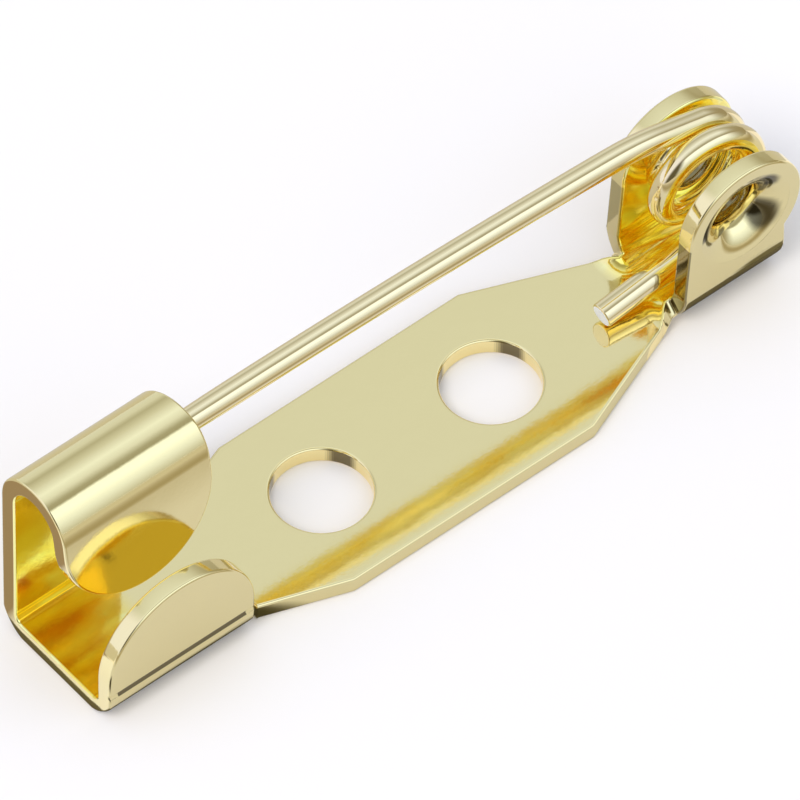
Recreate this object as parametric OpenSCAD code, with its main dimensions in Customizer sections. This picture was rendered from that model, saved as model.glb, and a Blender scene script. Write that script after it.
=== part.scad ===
// Brooch pin finding: a stamped sheet bar with a rolled catch, two sewing holes
// and two dished ears that carry the coil of a sprung pin wire.
// X runs from the catch to the ears, +Y is the side of the catch's tall wall,
// +Z points away from the brooch. The origin is midway between the sewing holes,
// on the face that lies against the brooch.

/* [Sheet] */
// Thickness of the stamped sheet
sheet_t = 0.45; // [0.35:0.01:0.55]
// Outside radius of the bends along the catch and the ears
bend_r = 0.6; // [0.5:0.01:0.7]
// Inside radius of the same bends
inner_bend_r = 0.12; // [0.06:0.01:0.2]

/* [Plate] */
// Overall width of the plate at its middle
plate_w = 4.76; // [4.4:0.02:5.2]
// Length of the wide part of the plate
wide_l = 6.8; // [6.4:0.1:7.6]
// Width of the narrow part beside the catch
catch_neck_w = 3.26; // [2.8:0.02:3.6]
// Distance from the middle of the plate to the catch
catch_x = 5.8; // [5.6:0.05:6.2]
// Length of the straight narrow part beside the catch
catch_neck_l = 0.3; // [0.2:0.05:0.5]
// Width of the narrow part beside the ears
ear_neck_w = 2.54; // [2.2:0.02:2.7]
// Length of the straight narrow part beside the ears
ear_neck_l = 0.5; // [0.3:0.05:0.8]
// Diameter of each sewing hole
hole_d = 2.3; // [1.8:0.05:2.6]
// Distance between the centres of the sewing holes
hole_spacing = 4.8; // [4.2:0.1:5.2]

/* [Catch] */
// Length of the catch along the bar
catch_l = 4.1; // [3.6:0.05:4.6]
// Overall width of the catch, over its two walls
catch_w = 3.8; // [3.5:0.05:4.2]
// Outside radius of the rolled hook
roll_r = 1.12; // [1.0:0.01:1.25]
// Height of the rolled hook's centre above the back face
roll_z = 4.7; // [4.4:0.05:5.2]
// Height of the hook's tongue tip above the back face
tongue_z = 1.94; // [1.7:0.02:2.2]
// Height of the low near flange's top above the back face
flange_h = 3.34; // [3.1:0.02:3.5]

/* [Ears] */
// Distance from the middle of the plate to the front edge of the ears
ear_x = 6.93; // [6.7:0.01:7.2]
// Length of the ears at their base
ear_base_l = 2.72; // [2.5:0.02:2.9]
// Overall width over the two ears
ears_w = 2.74; // [2.7:0.02:2.9]
// Radius of each ear's round head
head_r = 1.58; // [1.5:0.01:1.7]
// Height of the head's centre above the back face
head_z = 2.76; // [2.6:0.02:3.0]
// Radius of the dish where it meets the outer face
dish_r = 1.1; // [1.0:0.01:1.2]
// Radius of the pierced hole at the bottom of the dish
pierce_r = 0.56; // [0.5:0.01:0.6]
// Outside radius of the boss that carries the coil
boss_r = 0.69; // [0.66:0.01:0.74]
// Depth of the dish and boss, from the outer face to the tip
boss_depth = 0.95; // [0.85:0.01:1.0]
// Radius of the fillet between the boss and the inner face
boss_fillet_r = 0.26; // [0.15:0.01:0.3]

/* [Pin wire] */
// Diameter of the wire
wire_d = 0.6; // [0.5:0.01:0.64]
// Length of the taper at the pin's point
taper_l = 4.4; // [3:0.1:6]
// Distance that the point stops short of the catch's far end
tip_inset = 1.3; // [0.6:0.1:2]
// Rise of the straight stem above the top of the coil's centre line
stem_rise = 0.45; // [0.35:0.01:0.6]
// Angle at which the stem leaves the coil
stem_leave = 15; // [10:1:20]
// Angle by which the stem splays out between the coil and its bend
stem_splay = 1; // [0:0.5:2]
// Angle at which the tail leaves the coil
tail_leave = 30; // [25:1:40]
// Slope of the tail leg above the plate
tail_slope = 8; // [5:1:10]
// Distance from the tail's cut end to the front edge of the ears
tail_l = 1.65; // [1:0.05:2.4]
// Length of each bend that joins a leg to the coil
wire_bend_l = 0.7; // [0.4:0.05:0.9]

/* [Clearances] */
// Gap between two turns of the coil
turn_gap = 0.06; // [0.04:0.01:0.12]
// Gap between the coil's first turn and the ear beside it
coil_side_gap = 0.03; // [0.02:0.01:0.1]
// Smallest gap between the coil and the bosses inside it
boss_gap = 0.05; // [0.03:0.01:0.09]
// Height of the coil's centre above the bosses' centre
coil_lift = 0.14; // [0:0.01:0.2]
// Gap between the tail's cut end and the plate
tail_gap = 0.05; // [0.02:0.01:0.2]
// Distance of the stem from the middle of the rolled hook, sideways
stem_offset = 0.15; // [0:0.01:0.2]
// Distance of the stem below the middle of the rolled hook
stem_drop = 0.16; // [0:0.01:0.25]
// Gap between the moving coil and the fixed tail where they meet
split_gap = 0.05; // [0.04:0.01:0.08]

/* [Hidden] */
$fn = 64;
gold = [0.93, 0.82, 0.5];
gold_wire = [0.9, 0.8, 0.55];
eps = 0.01;
arc_steps = 8;

catch_end_x = -(catch_x + catch_l);
catch_mid_x = -(catch_x + catch_l / 2);
catch_round_r = catch_l / 2;
far_y = catch_w / 2;
roll_y = far_y - roll_r;
roll_top_z = roll_z + roll_r;
tongue_y = roll_y - roll_r;
tongue_round_z = tongue_z + catch_round_r;
flange_round_z = flange_h - catch_round_r;

ear_end_x = ear_x + ear_base_l;
head_x = ear_x + head_r;
ear_face_y = ears_w / 2;
ear_inner_y = ear_face_y - sheet_t;

wire_r = wire_d / 2;
coil_r = boss_r + boss_gap + coil_lift + wire_r;
coil_z = head_z + coil_lift;
coil_pitch = wire_d + turn_gap;
coil_y = ear_inner_y - coil_side_gap - wire_r;
start_a = 90 - stem_leave;
coil_sweep = 360 + start_a + 90 - tail_leave;
coil_step = 10;
wire_sides = 16;

// Position on the coil's centre line, turn degrees after the stem joins it
function coil_at(turn) = [
    head_x + coil_r * cos(start_a - turn),
    coil_y - coil_pitch * turn / 360,
    coil_z + coil_r * sin(start_a - turn)
];

// Points of a smooth bend at corner b, between the directions of a and c
function bend(a, b, c, reach, steps) =
    let (p = b + reach * (a - b) / norm(a - b))
    let (q = b + reach * (c - b) / norm(c - b))
    [for (i = [0:steps]) let (t = i / steps)
        (1 - t) * (1 - t) * p + 2 * t * (1 - t) * b + t * t * q];

// Stem: its point lies in the rolled hook, and it meets the coil over a slight bend
coil_start = coil_at(0);
stem_knee_z = coil_z + coil_r + stem_rise;
stem_knee = [
    coil_start.x - (stem_knee_z - coil_start.z) / tan(stem_leave),
    coil_y + (coil_start.x - ear_x) * tan(stem_splay),
    stem_knee_z
];
tip = [catch_end_x + tip_inset, roll_y + stem_offset, roll_z - stem_drop];
stem_dir = (stem_knee - tip) / norm(stem_knee - tip);

// Tail: a leg that leaves the coil low down and lies just above the plate
coil_end = coil_at(coil_sweep);
tail_end_x = ear_x - tail_l;
tail_end_z = sheet_t + tail_gap + wire_r;
tail_knee_x = (tail_end_z - coil_end.z + coil_end.x * tan(tail_leave) - tail_end_x * tan(tail_slope))
    / (tan(tail_leave) - tan(tail_slope));
tail_knee = [tail_knee_x, coil_end.y, coil_end.z - (coil_end.x - tail_knee_x) * tan(tail_leave)];
tail_end = [tail_end_x, coil_end.y, tail_end_z];

// Round taper of the point: share of the wire's radius at a share of the taper's length
function taper(share) = 0.06 + 0.94 * sqrt(1 - (1 - share) * (1 - share));

// A tube along points, with one radius for each point
module tube(points, radii) {
    n = len(points);
    rings = [for (i = [0:n - 1])
        let (ahead = points[min(i + 1, n - 1)] - points[max(i - 1, 0)])
        let (side = cross(ahead, [0, 1, 0]))
        let (u = side / norm(side))
        let (up = cross(u, ahead))
        let (v = up / norm(up))
        for (k = [0:wire_sides - 1])
            let (a = 360 * k / wire_sides)
            points[i] + radii[i] * (cos(a) * u + sin(a) * v)];
    walls = [for (i = [0:n - 2]) for (k = [0:wire_sides - 1])
        let (next = (k + 1) % wire_sides)
        [i * wire_sides + k, (i + 1) * wire_sides + k, (i + 1) * wire_sides + next, i * wire_sides + next]];
    first_cap = [for (k = [0:wire_sides - 1]) k];
    last_cap = [for (k = [wire_sides - 1:-1:0]) (n - 1) * wire_sides + k];
    polyhedron(points = rings, faces = concat(walls, [first_cap], [last_cap]));
}

// Turns a drawing of Y and Z into a solid that runs along X from x0 to x1
module along_x(x0, x1) {
    translate([x0, 0, 0])
        rotate([90, 0, 90])
            linear_extrude(x1 - x0)
                children();
}

// Turns a drawing of X and Z into a solid that runs along Y from y0 to y1
module along_y(y0, y1) {
    translate([0, y1, 0])
        rotate([90, 0, 0])
            linear_extrude(y1 - y0)
                children();
}

// Bent channel in Y and Z: a floor and two walls, w wide overall and h high
module channel(y0, y1, h) {
    difference() {
        union() {
            translate([y0, bend_r]) square([y1 - y0, h - bend_r]);
            translate([y0 + bend_r, 0]) square([y1 - y0 - 2 * bend_r, bend_r + eps]);
            for (y = [y0 + bend_r, y1 - bend_r]) translate([y, bend_r]) circle(bend_r);
        }
        translate([y0 + sheet_t, sheet_t + inner_bend_r])
            square([y1 - y0 - 2 * sheet_t, h]);
        translate([y0 + sheet_t + inner_bend_r, sheet_t])
            square([y1 - y0 - 2 * sheet_t - 2 * inner_bend_r, inner_bend_r + eps]);
        for (y = [y0 + sheet_t + inner_bend_r, y1 - sheet_t - inner_bend_r])
            translate([y, sheet_t + inner_bend_r]) circle(inner_bend_r);
    }
}

// Plate seen from above, with its tapers to the catch and the ears
module plate_outline() {
    flare_x = catch_x - catch_neck_l;
    half_wide = wide_l / 2;
    polygon([
        [-catch_x - eps, -catch_neck_w / 2], [-flare_x, -catch_neck_w / 2], [-half_wide, -plate_w / 2],
        [half_wide, -plate_w / 2], [ear_x - ear_neck_l, -ear_neck_w / 2], [ear_x + eps, -ear_neck_w / 2],
        [ear_x + eps, ear_neck_w / 2], [ear_x - ear_neck_l, ear_neck_w / 2], [half_wide, plate_w / 2],
        [-half_wide, plate_w / 2], [-flare_x, catch_neck_w / 2], [-catch_x - eps, catch_neck_w / 2]
    ]);
}

module plate() {
    difference() {
        linear_extrude(sheet_t) plate_outline();
        for (x = [-hole_spacing / 2, hole_spacing / 2])
            translate([x, 0, -eps]) cylinder(h = sheet_t + 2 * eps, d = hole_d);
    }
}

// Section through the catch in Y and Z: near flange, floor, tall wall, roll and tongue
module catch_section() {
    difference() {
        channel(-far_y, far_y, roll_z);
        translate([-far_y - eps, flange_h]) square([2 * sheet_t, roll_z]);
    }
    difference() {
        translate([roll_y, roll_z]) circle(roll_r);
        translate([roll_y, roll_z]) circle(roll_r - sheet_t);
        translate([tongue_y - eps, roll_z - 2 * roll_r]) square([2 * roll_r + 2 * eps, 2 * roll_r]);
    }
    translate([tongue_y, tongue_z]) square([sheet_t, roll_z - tongue_z]);
}

// Outline in X and Z of a wall that ends in a half round of the catch's length
module rounded_wall(round_z, z0, z1) {
    translate([catch_mid_x, round_z]) circle(catch_round_r);
    translate([catch_end_x, z0]) square([catch_l, z1 - z0]);
}

module catch() {
    flange_y = -far_y + sheet_t + inner_bend_r;
    intersection() {
        along_x(catch_end_x, -catch_x) catch_section();
        union() {
            along_y(tongue_y + sheet_t + eps, far_y + eps)
                translate([catch_end_x - eps, -eps]) square([catch_l + 2 * eps, roll_top_z + 2 * eps]);
            along_y(tongue_y - eps, tongue_y + sheet_t + 2 * eps)
                rounded_wall(tongue_round_z, tongue_round_z, roll_top_z + eps);
            along_y(-far_y - eps, flange_y)
                rounded_wall(flange_round_z, -eps, flange_round_z);
            along_y(-far_y - eps, far_y + eps)
                translate([catch_end_x - eps, -eps]) square([catch_l + 2 * eps, bend_r]);
        }
    }
}

// Both ears and the floor between them, bent up from the plate
module ears_blank() {
    intersection() {
        along_x(ear_x, head_x + head_r + eps)
            channel(-ear_face_y, ear_face_y, head_z + head_r + eps);
        along_y(-ear_face_y - eps, ear_face_y + eps) {
            translate([head_x, head_z]) circle(head_r);
            translate([ear_x, -eps]) square([ear_base_l, head_z + eps]);
        }
    }
}

// Places a turned shape on one ear: its depth runs inwards from the outer face
module on_ear(side) {
    translate([head_x, side * ear_face_y, head_z])
        rotate([90 * side, 0, 0])
            rotate_extrude()
                children();
}

// Section of the solid boss, as radius and depth
module boss_section() {
    foot_r = boss_r + boss_fillet_r;
    foot_d = sheet_t + boss_fillet_r;
    polygon(concat(
        [[0, sheet_t / 2], [foot_r, sheet_t / 2]],
        [for (i = [0:arc_steps]) let (a = 90 * i / arc_steps)
            [foot_r - boss_fillet_r * sin(a), foot_d - boss_fillet_r * cos(a)]],
        [[boss_r, boss_depth], [0, boss_depth]]
    ));
}

// Section of the dish and its pierced hole, cut out of the ear and the boss
module dish_section() {
    mouth_r = dish_r - pierce_r;
    polygon(concat(
        [[0, -eps], [dish_r, -eps]],
        [for (i = [0:arc_steps]) let (a = 90 * i / arc_steps)
            [dish_r - mouth_r * sin(a), mouth_r - mouth_r * cos(a)]],
        [[pierce_r, boss_depth + eps], [0, boss_depth + eps]]
    ));
}

module sheet_body() {
    color(gold)
        difference() {
            union() {
                plate();
                catch();
                ears_blank();
                for (side = [-1, 1]) on_ear(side) boss_section();
            }
            for (side = [-1, 1]) on_ear(side) dish_section();
        }
}

// Pointed stem and the coil that turns on the bosses
module pin_stem() {
    taper_steps = 8;
    taper_share = [for (i = [0:taper_steps]) pow(i / taper_steps, 2)];
    point_rings = [for (s = taper_share) tip + stem_dir * taper_l * s];
    knee = bend(tip, stem_knee, coil_start, wire_bend_l, 6);
    coil_last = coil_sweep - 2 * asin(split_gap / 2 / coil_r);
    turns = floor(coil_last / coil_step);
    coil = [for (i = [0:turns]) coil_at(coil_last * i / turns)];
    path = concat(point_rings, knee, coil);
    radii = concat([for (s = taper_share) wire_r * taper(s)], [for (i = [1:len(path) - len(point_rings)]) wire_r]);
    color(gold_wire) tube(path, radii);
}

// Fixed leg that holds the wire against the plate
module pin_tail() {
    path = concat([coil_end], bend(coil_end, tail_knee, tail_end, wire_bend_l, 8), [tail_end]);
    color(gold_wire) tube(path, [for (p = path) wire_r]);
}

sheet_body();
pin_stem();
pin_tail();
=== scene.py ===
"""Looks of a gilt brooch pin finding: a stamped sheet bar with a rolled catch,
and a sprung pin wire coiled between two dished ears.

Sizes in the property groups are metres. Pieces are modelled in millimetres and
shrunk to metres when they are finished, so the sizes and places named below are
millimetres unless a comment says otherwise.
"""

import math
from typing import NamedTuple

import bpy
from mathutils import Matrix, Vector


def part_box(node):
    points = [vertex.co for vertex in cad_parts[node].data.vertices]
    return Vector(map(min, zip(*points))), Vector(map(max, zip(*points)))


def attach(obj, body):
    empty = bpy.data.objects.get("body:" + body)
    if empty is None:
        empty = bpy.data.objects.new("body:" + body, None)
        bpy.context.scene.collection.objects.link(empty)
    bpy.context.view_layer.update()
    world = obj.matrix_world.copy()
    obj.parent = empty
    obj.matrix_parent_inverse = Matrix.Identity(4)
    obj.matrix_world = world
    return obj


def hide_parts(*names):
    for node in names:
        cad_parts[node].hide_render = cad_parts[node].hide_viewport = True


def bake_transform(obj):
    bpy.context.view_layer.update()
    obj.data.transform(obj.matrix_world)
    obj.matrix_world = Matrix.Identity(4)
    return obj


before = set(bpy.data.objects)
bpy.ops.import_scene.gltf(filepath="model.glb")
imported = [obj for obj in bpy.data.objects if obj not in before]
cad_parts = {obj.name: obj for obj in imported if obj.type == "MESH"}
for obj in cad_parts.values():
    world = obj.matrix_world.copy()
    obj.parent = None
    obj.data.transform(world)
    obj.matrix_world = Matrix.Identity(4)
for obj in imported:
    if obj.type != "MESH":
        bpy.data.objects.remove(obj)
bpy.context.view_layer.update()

SHEET_LOW, SHEET_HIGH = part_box("sheet_body")

bl_info = {
    "name": "Gilt brooch pin finding",
    "version": (1, 0, 0),
    "blender": (4, 5, 0),
    "location": "View3D > Sidebar > Brooch pin",
    "description": "Models a stamped brooch pin back with its sprung wire, and a plain studio for it",
    "category": "Add Mesh",
}

MM_PER_M = 1000.0
TINY = 0.0001
QUARTER = math.radians(90)
HALF = math.radians(180)


# Sizes and colours that a user would change

# Metres from the middle to the catch, radius of the hook's roll, and how far the hook's
# top lies below the solid's
CATCH_X = 0.0058
ROLL_R = 0.00112
HOOK_DROP = 0.00008


def length(name, text, default):
    """A size property in metres."""
    return bpy.props.FloatProperty(
        name=name, description=text, default=default, min=0.0, unit="LENGTH", precision=5
    )


def colour(name, text, default):
    """A colour property in linear light."""
    return bpy.props.FloatVectorProperty(
        name=name, description=text, default=default, size=3, min=0.0, max=4.0, subtype="COLOR"
    )


class BROOCHPIN_PG_sheet(bpy.types.PropertyGroup):
    """Sizes of the stamped sheet."""

    sheet_t: length("Sheet", "Thickness of the stamped sheet", 0.00045)
    edge_r: length("Edge rounding", "Rounding of the stamped edges", 0.00007)
    bend_in_r: length("Catch bend", "Inside radius of the bends at the catch", 0.0002)
    ear_bend_in_r: length("Ear bend", "Inside radius of the bends at the ears", 0.0007)
    coin_z: length("Coin line", "Height of the line pressed into the near flange", 0.00096)
    coin_w: length("Coin line width", "Width of the line pressed into the near flange", 0.00016)
    coin_depth: length("Coin line depth", "Depth of the line pressed into the near flange", 0.00004)
    corner_thin: bpy.props.FloatProperty(
        name="Corner thinning", description="Share of the sheet lost at the catch's folded corners",
        default=0.19, min=0.0, max=0.5)
    plate_w: length("Plate width", "Width of the plate at its middle", 0.00476)
    wide_l: length("Wide length", "Length of the wide part of the plate", 0.0068)
    catch_neck_w: length("Catch neck", "Width of the plate beside the catch", 0.00326)
    ear_neck_w: length("Ear neck", "Width of the plate beside the ears", 0.0021)
    ear_neck_l: length("Ear neck length", "Length of the narrow plate beside the ears", 0.0001)
    neck_curl_l: length("Neck curl", "Length over which the plate curls up into the ears' bends", 0.0006)
    hole_d: length("Hole", "Diameter of each sewing hole", 0.0023)
    hole_spacing: length("Hole spacing", "Distance between the sewing holes' centres", 0.0048)
    catch_x: length("Catch place", "Distance from the middle to the catch", CATCH_X)
    catch_l: length("Catch length", "Length of the catch along the bar", -SHEET_LOW.x - CATCH_X)
    flange_y: length("Flange place", "Distance from the middle to the near flange's outer face", 0.0019)
    wall_y: length("Wall place", "Distance from the middle to the far wall's outer face", 0.00186)
    wall_inset: length("Wall inset", "Distance that the far wall stays behind the tongue's end", 0.0011)
    widen_below: length("Wall widening", "Length of wall that widens below the roll", 0.0008)
    widen_above: length("Roll widening", "Length of roll that still widens", 0.002)
    catch_relief_l: length("Catch relief", "Width of the notches beside the catch's bends", 0.00025)
    catch_taper_l: length("Catch taper", "Length of the narrow plate beside the catch", 0.0003)
    roll_r: length("Roll", "Outside radius of the rolled hook", ROLL_R)
    roll_z: length("Roll height", "Height of the rolled hook's centre", SHEET_HIGH.z - ROLL_R - HOOK_DROP)
    tongue_l: length("Tongue", "Length of the tongue from the end of the roll to its tip", 0.00245)
    tongue_lean: bpy.props.FloatProperty(
        name="Tongue lean", description="Angle at which the tongue leans outwards",
        default=math.radians(8), subtype="ANGLE")
    flange_h: length("Flange height", "Height of the low near flange", 0.00334)
    ear_x: length("Ear place", "Distance from the middle to the ears' front edge", 0.00693)
    ear_base_l: length("Ear base", "Length of the ears at their base", 0.00272)
    ear_foot: length("Ear foot", "Distance that the ears' front edge spreads at the base", 0.00013)
    ears_w: length("Ears width", "Width over the two ears", 0.0028)
    head_r: length("Head", "Radius of each ear's round head", 0.00158)
    head_z: length("Head height", "Height of the heads' centre", 0.00276)
    dish_r: length("Dish", "Radius of the dish at the outer face", 0.00135)
    pierce_r: length("Pierced hole", "Radius of the hole at the dish's bottom", 0.00056)
    boss_r: length("Boss", "Outside radius of the boss inside the coil", 0.00069)
    boss_depth: length("Boss depth", "Depth from the outer face to the boss's tip", 0.00095)
    boss_fillet_r: length("Boss fillet", "Fillet between the boss and the inner face", 0.00026)


class BROOCHPIN_PG_wire(bpy.types.PropertyGroup):
    """Sizes of the pin wire."""

    wire_d: length("Wire", "Diameter of the wire", 0.0006)
    coil_r: length("Coil", "Radius of the coil's centre line", 0.00118)
    coil_pitch: length("Pitch", "Distance between two turns of the coil", 0.00066)
    coil_y: length("Coil place", "Distance of the first turn from the middle", 0.00059)
    coil_lift: length("Coil lift", "Height of the coil's centre above the heads' centre", 0.00014)
    stem_rise: length("Stem rise", "Rise of the stem above the top of the coil", 0.00045)
    stem_leave: bpy.props.FloatProperty(
        name="Stem angle", description="Angle at which the stem leaves the coil",
        default=math.radians(15), subtype="ANGLE")
    stem_splay: bpy.props.FloatProperty(
        name="Stem splay", description="Sideways angle of the stem beside the coil",
        default=math.radians(1), subtype="ANGLE")
    tail_leave: bpy.props.FloatProperty(
        name="Tail angle", description="Angle at which the tail leaves the coil",
        default=math.radians(30), subtype="ANGLE")
    tail_slope: bpy.props.FloatProperty(
        name="Tail slope", description="Slope of the tail leg above the plate",
        default=math.radians(8), subtype="ANGLE")
    tail_l: length("Tail", "Length of the tail in front of the ears", 0.00165)
    tail_gap: length("Tail gap", "Gap between the tail's cut end and the plate", 0.00005)
    bend_l: length("Wire bend", "Reach of each bend beside the coil", 0.0007)
    stem_bow: length("Stem bow", "Rise of the sprung stem at its middle above a straight line", 0.00019)
    taper_l: length("Taper", "Length of the taper at the pin's point", 0.0044)
    tip_inset: length("Point inset", "Distance of the point from the catch's far end", 0.0013)
    stem_offset: length("Stem offset", "Sideways distance of the point from the roll's middle", 0.00015)
    stem_drop: length("Stem drop", "Distance of the point below the roll's middle", 0.00016)


class BROOCHPIN_PG_looks(bpy.types.PropertyGroup):
    """Colours of the plating, of its painted shade and painted reflections, and of the studio."""

    sheet_gold: colour("Sheet plating", "Colour of the plated sheet", (0.95, 0.81, 0.40))
    wire_gold: colour("Wire plating", "Colour of the plated wire", (0.95, 0.80, 0.45))
    # Painted reflection colour of gold mirrored in gold, in the hollows and under the wire
    hollow_reflection_gold: colour("Deep gold", "Colour of the plating in the hollows", (1.0, 0.94, 0.36))
    # Painted reflection colour of the orange patches in the hollows and on the near flange's inner face
    orange_reflection_gold: colour("Warm gold", "Colour of the orange patches in the hollows", (1.0, 0.8, 0.16))
    # Colour of painted shade, which also stands for real dullness on the sewing holes' torn walls
    wear_and_painted_shade_gold: colour("Worn gold", "Colour of the worn, dull places", (0.2, 0.16, 0.08))
    # Colour of the painted dark reflections in the dishes
    tarnish: colour("Tarnish", "Colour of the dark spots in the dishes", (0.07, 0.055, 0.03))
    cut_steel: colour("Cut end", "Colour of the wire's bare core", (1.0, 1.0, 0.98))
    floor: colour("Floor", "Colour of the floor", (0.97, 0.9, 0.815))
    panel: colour("Panels", "Tint of the studio's lit panels", (0.88, 1.0, 1.28))
    gap: colour("Gaps", "Tint of the dim gaps between the panels", (1.05, 1.01, 0.76))


# Tools that every piece is shaped with

# Sides of a sewing hole and of a dish
HOLE_SIDES = 144
DISH_SIDES = 96
# Vertices this near are one, and faces this near to one plane are joined
MERGE = 0.001
FLAT_ANGLE = math.radians(0.5)
# Edges sharper than this are rounded
SHARP_ANGLE = math.radians(40)


def deselect():
    """Leaves edit mode and deselects every object."""
    if bpy.context.mode != "OBJECT":
        bpy.ops.object.mode_set(mode="OBJECT")
    bpy.ops.object.select_all(action="DESELECT")


def only(piece):
    """Makes piece the only selected object."""
    deselect()
    piece.select_set(True)
    bpy.context.view_layer.objects.active = piece


def settle(piece):
    """Puts a piece's place, turn and scale into its mesh."""
    only(piece)
    bpy.ops.object.transform_apply(location=True, rotation=True, scale=True)


def pick(piece, kind, wanted):
    """Enters edit mode with only the wanted vertices, edges or faces selected."""
    only(piece)
    bpy.ops.object.mode_set(mode="EDIT")
    bpy.ops.mesh.select_mode(type=kind)
    bpy.ops.mesh.select_all(action="DESELECT")
    bpy.ops.object.mode_set(mode="OBJECT")
    parts = {"VERT": piece.data.vertices, "EDGE": piece.data.edges, "FACE": piece.data.polygons}[kind]
    for i in wanted:
        parts[i].select = True
    bpy.ops.object.mode_set(mode="EDIT")


def disc(x, y, radius, z0, z1):
    """A round blank with its axis along Z."""
    deselect()
    bpy.ops.mesh.primitive_cylinder_add(
        vertices=HOLE_SIDES, radius=radius, depth=z1 - z0, location=(x, y, (z0 + z1) / 2)
    )
    blank = bpy.context.object
    settle(blank)
    return blank


def combine(piece, tool, operation):
    """Adds a tool's shape to a piece or cuts it out, and removes the tool."""
    only(piece)
    cut = piece.modifiers.new("combine", "BOOLEAN")
    cut.operation = operation
    cut.solver = "EXACT"
    cut.object = tool
    bpy.ops.object.modifier_apply(modifier=cut.name)
    bpy.data.objects.remove(tool)


def score(piece, wanted, place, normal):
    """Scores a line across the faces whose centres are wanted, so that they can fold there."""
    pick(piece, "FACE", [f.index for f in piece.data.polygons if wanted(f.center)])
    bpy.ops.mesh.bisect(plane_co=place, plane_no=normal, threshold=TINY)
    bpy.ops.object.mode_set(mode="OBJECT")


def turned(rings, place, turn_x):
    """A round solid from its rings of radius and height, its axis turned about X."""
    deselect()
    first_r, first_z = rings[0]
    bpy.ops.mesh.primitive_circle_add(
        vertices=DISH_SIDES, radius=first_r, fill_type="NGON", location=(0, 0, first_z)
    )
    solid = bpy.context.object
    settle(solid)
    bpy.ops.object.mode_set(mode="EDIT")
    bpy.ops.mesh.select_all(action="SELECT")
    for (r0, z0), (r1, z1) in zip(rings, rings[1:]):
        bpy.ops.mesh.extrude_region_move(TRANSFORM_OT_translate={"value": (0, 0, z1 - z0)})
        bpy.ops.transform.resize(value=(r1 / r0, r1 / r0, 1), center_override=(0, 0, z1))
    bpy.ops.mesh.select_all(action="SELECT")
    bpy.ops.mesh.normals_make_consistent(inside=False)
    bpy.ops.object.mode_set(mode="OBJECT")
    solid.rotation_euler = (turn_x, 0, 0)
    solid.location = place
    settle(solid)
    return solid


def clean(piece):
    """Merges doubled vertices and joins faces that lie in one plane."""
    only(piece)
    bpy.ops.object.mode_set(mode="EDIT")
    bpy.ops.mesh.select_all(action="SELECT")
    bpy.ops.mesh.remove_doubles(threshold=MERGE)
    bpy.ops.mesh.dissolve_limited(angle_limit=FLAT_ANGLE)
    bpy.ops.object.mode_set(mode="OBJECT")


def round_edges(piece, radius, segments, wanted):
    """Rounds the sharp edges for which wanted(first end, second end) holds."""
    pick(piece, "EDGE", [])
    bpy.ops.mesh.edges_select_sharp(sharpness=SHARP_ANGLE)
    bpy.ops.object.mode_set(mode="OBJECT")
    points = piece.data.vertices
    chosen = [
        e.index for e in piece.data.edges
        if e.select and wanted(points[e.vertices[0]].co, points[e.vertices[1]].co)
    ]
    pick(piece, "EDGE", chosen)
    bpy.ops.mesh.bevel(offset=radius, segments=segments, profile=0.5, affect="EDGES", clamp_overlap=False)
    bpy.ops.object.mode_set(mode="OBJECT")


def mark_faces(piece, name, share):
    """Raises a face's mark to share(face), for the materials to read. An unmarked face has 0."""
    if name not in piece.data.attributes:
        piece.data.attributes.new(name, "FLOAT", "FACE")
    marks = piece.data.attributes[name].data
    for face in piece.data.polygons:
        marks[face.index].value = max(marks[face.index].value, share(face))


def finish_piece(piece, name, material):
    """Shades a piece smooth with flat faces kept flat, shrinks it to metres and names it."""
    only(piece)
    bpy.ops.object.shade_smooth()
    weight = piece.modifiers.new("flat faces", "WEIGHTED_NORMAL")
    weight.keep_sharp = True
    bpy.ops.object.modifier_apply(modifier=weight.name)
    bpy.ops.object.mode_set(mode="EDIT")
    bpy.ops.mesh.select_all(action="SELECT")
    shrink = 1 / MM_PER_M
    bpy.ops.transform.resize(value=(shrink, shrink, shrink), center_override=(0, 0, 0))
    bpy.ops.object.mode_set(mode="OBJECT")
    piece.name = name
    piece.data.name = name
    piece.data.materials.clear()
    piece.data.materials.append(material)


class Millimetres:
    """The sizes of a property group, read in millimetres. Angles stay in radians."""

    def __init__(self, group):
        for key, prop in group.bl_rna.properties.items():
            if prop.type == "FLOAT" and not prop.is_array:
                value = getattr(group, key)
                setattr(self, key, value * MM_PER_M if prop.unit == "LENGTH" else value)


# The stamped sheet: its blank, its folds and its dished ears

# Steps of each bend, of the neck's curl and the roll, of the wall's widening edge, of the
# outline's round ends, of a dish's quarter arcs and of a rounded edge
BEND_STEPS = 8
CURL_STEPS = 8
ROLL_STEPS = 30
WIDEN_STEPS = 24
ROUND_STEPS = 72
DISH_STEPS = 12
EDGE_SEGMENTS = 3
# Distance of the outline's inner corners from the bends and the neck beside them
TUCK = 0.02
# Share of the far wall's widening that is even along its edge. The rest is a smooth step
# over the first half of the edge
EVEN_WIDENING = 0.32
# Distance of the pressed line's ends from the flange's sides
LINE_INSET = 0.25
# Chamfer at the boss's tip, and how far the cutter of the dish reaches past the metal
BOSS_CHAMFER = 0.03
CUTTER_REACH = 0.2
# Height of a face's normal from which it counts as a top, an underside or a wall of the flat blank
TOP_FROM = 0.5
UNDERSIDE_FROM = -0.3
WALL_FROM = 0.4


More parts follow.
